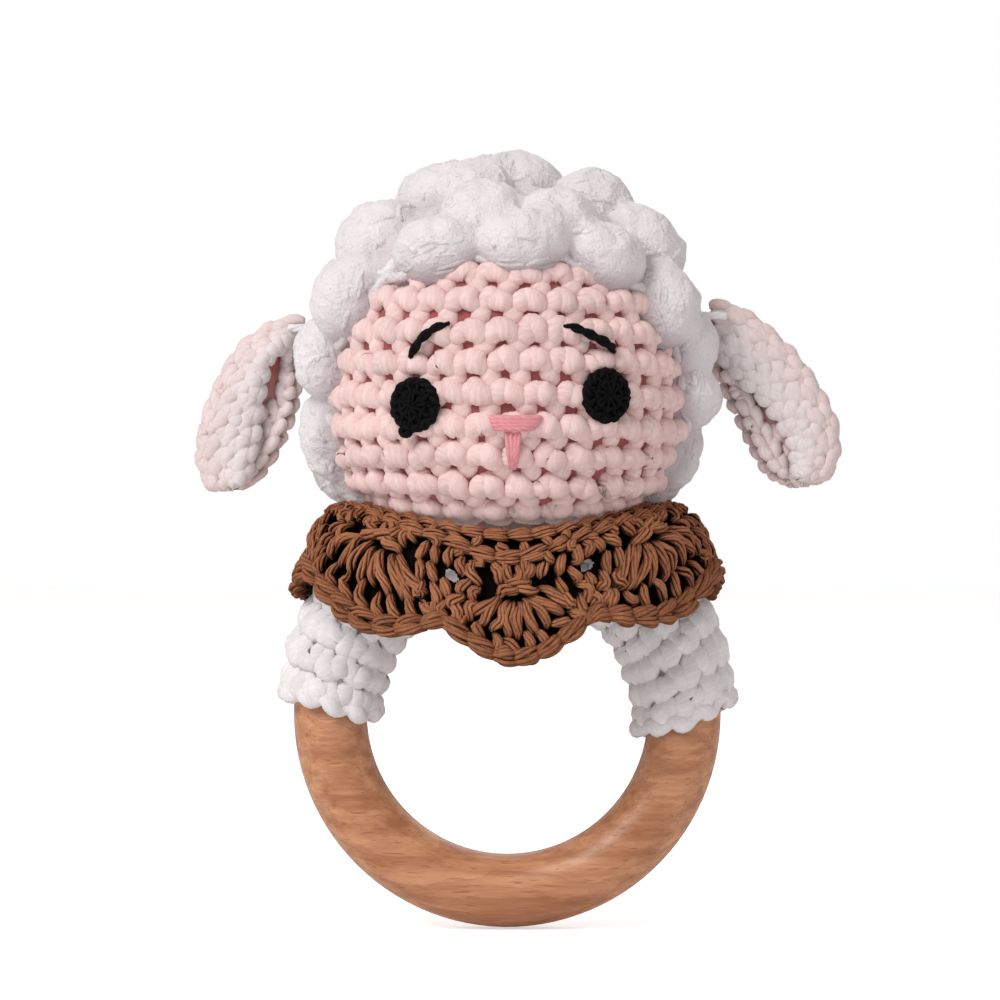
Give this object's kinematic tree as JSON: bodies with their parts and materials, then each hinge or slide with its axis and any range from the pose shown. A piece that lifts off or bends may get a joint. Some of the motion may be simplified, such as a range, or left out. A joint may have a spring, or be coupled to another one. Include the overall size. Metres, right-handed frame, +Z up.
{
  "type": "baby rattle",
  "caption": "Crochet lamb's-head baby rattle sewn astride a round wooden teething ring, with drooping folded ears and a scalloped brown collar.",
  "frame": {"origin": "centre of the wooden ring", "axes": "+Z up through the lamb's head, -Y the way the face looks, +X to the right of a viewer who faces the lamb"},
  "size_m": [0.1076, 0.0684, 0.1274],
  "materials": {
    "beech": "satin",
    "white_yarn": "matte",
    "pink_yarn": "matte",
    "rose_yarn": "matte",
    "brown_yarn": "matte",
    "black_yarn": "matte",
    "filling": "matte",
    "capsule": "gloss",
    "bead": "satin"
  },
  "bodies": {
    "ring": {"wooden_ring": "beech"},
    "lamb": {"ring_sleeve": "white_yarn", "sleeve_seam_yarn": "white_yarn", "head_skin": "pink_yarn", "head_filling": "filling", "neck_seam_yarn": "pink_yarn", "wool_cap": "white_yarn", "rattle_shell_lower": "capsule", "rattle_shell_upper": "capsule", "left_eye": "black_yarn", "right_eye": "black_yarn", "left_brow": "black_yarn", "right_brow": "black_yarn", "left_ear_seam_yarn": "white_yarn", "right_ear_seam_yarn": "white_yarn", "nose_stitches": "rose_yarn", "mouth_stitches": "rose_yarn", "collar": "brown_yarn"},
    "left_ear": {"left_ear_shell": "white_yarn", "left_ear_lining": "rose_yarn"},
    "right_ear": {"right_ear_shell": "white_yarn", "right_ear_lining": "rose_yarn"},
    "bead_1": {"rattle_bead_1": "bead"},
    "bead_2": {"rattle_bead_2": "bead"},
    "bead_3": {"rattle_bead_3": "bead"},
    "bead_4": {"rattle_bead_4": "bead"},
    "bead_5": {"rattle_bead_5": "bead"}
  },
  "joints": [
    {"name": "ring_turn", "type": "hinge", "parent": "ring", "child": "lamb", "pos_m": [0, 0, 0], "axis": [0, 1, 0], "continuous": true},
    {"name": "left_ear_flap", "type": "hinge", "parent": "lamb", "child": "left_ear", "pos_m": [-0.035, 0, 0.063], "axis": [0, 1, 0], "range_deg": [0, 75]},
    {"name": "right_ear_flap", "type": "hinge", "parent": "lamb", "child": "right_ear", "pos_m": [0.035, 0, 0.065], "axis": [0, -1, 0], "range_deg": [0, 75]},
    {"name": "bead_1_rise", "type": "slide", "parent": "lamb", "child": "bead_1", "axis": [0, 0, 1], "range_m": [0, 0.01799]},
    {"name": "bead_2_rise", "type": "slide", "parent": "lamb", "child": "bead_2", "axis": [0, 0, 1], "range_m": [0, 0.01424]},
    {"name": "bead_3_rise", "type": "slide", "parent": "lamb", "child": "bead_3", "axis": [0, 0, 1], "range_m": [0, 0.01424]},
    {"name": "bead_4_rise", "type": "slide", "parent": "lamb", "child": "bead_4", "axis": [0, 0, 1], "range_m": [0, 0.01424]},
    {"name": "bead_5_rise", "type": "slide", "parent": "lamb", "child": "bead_5", "axis": [0, 0, 1], "range_m": [0, 0.01424]}
  ]
}
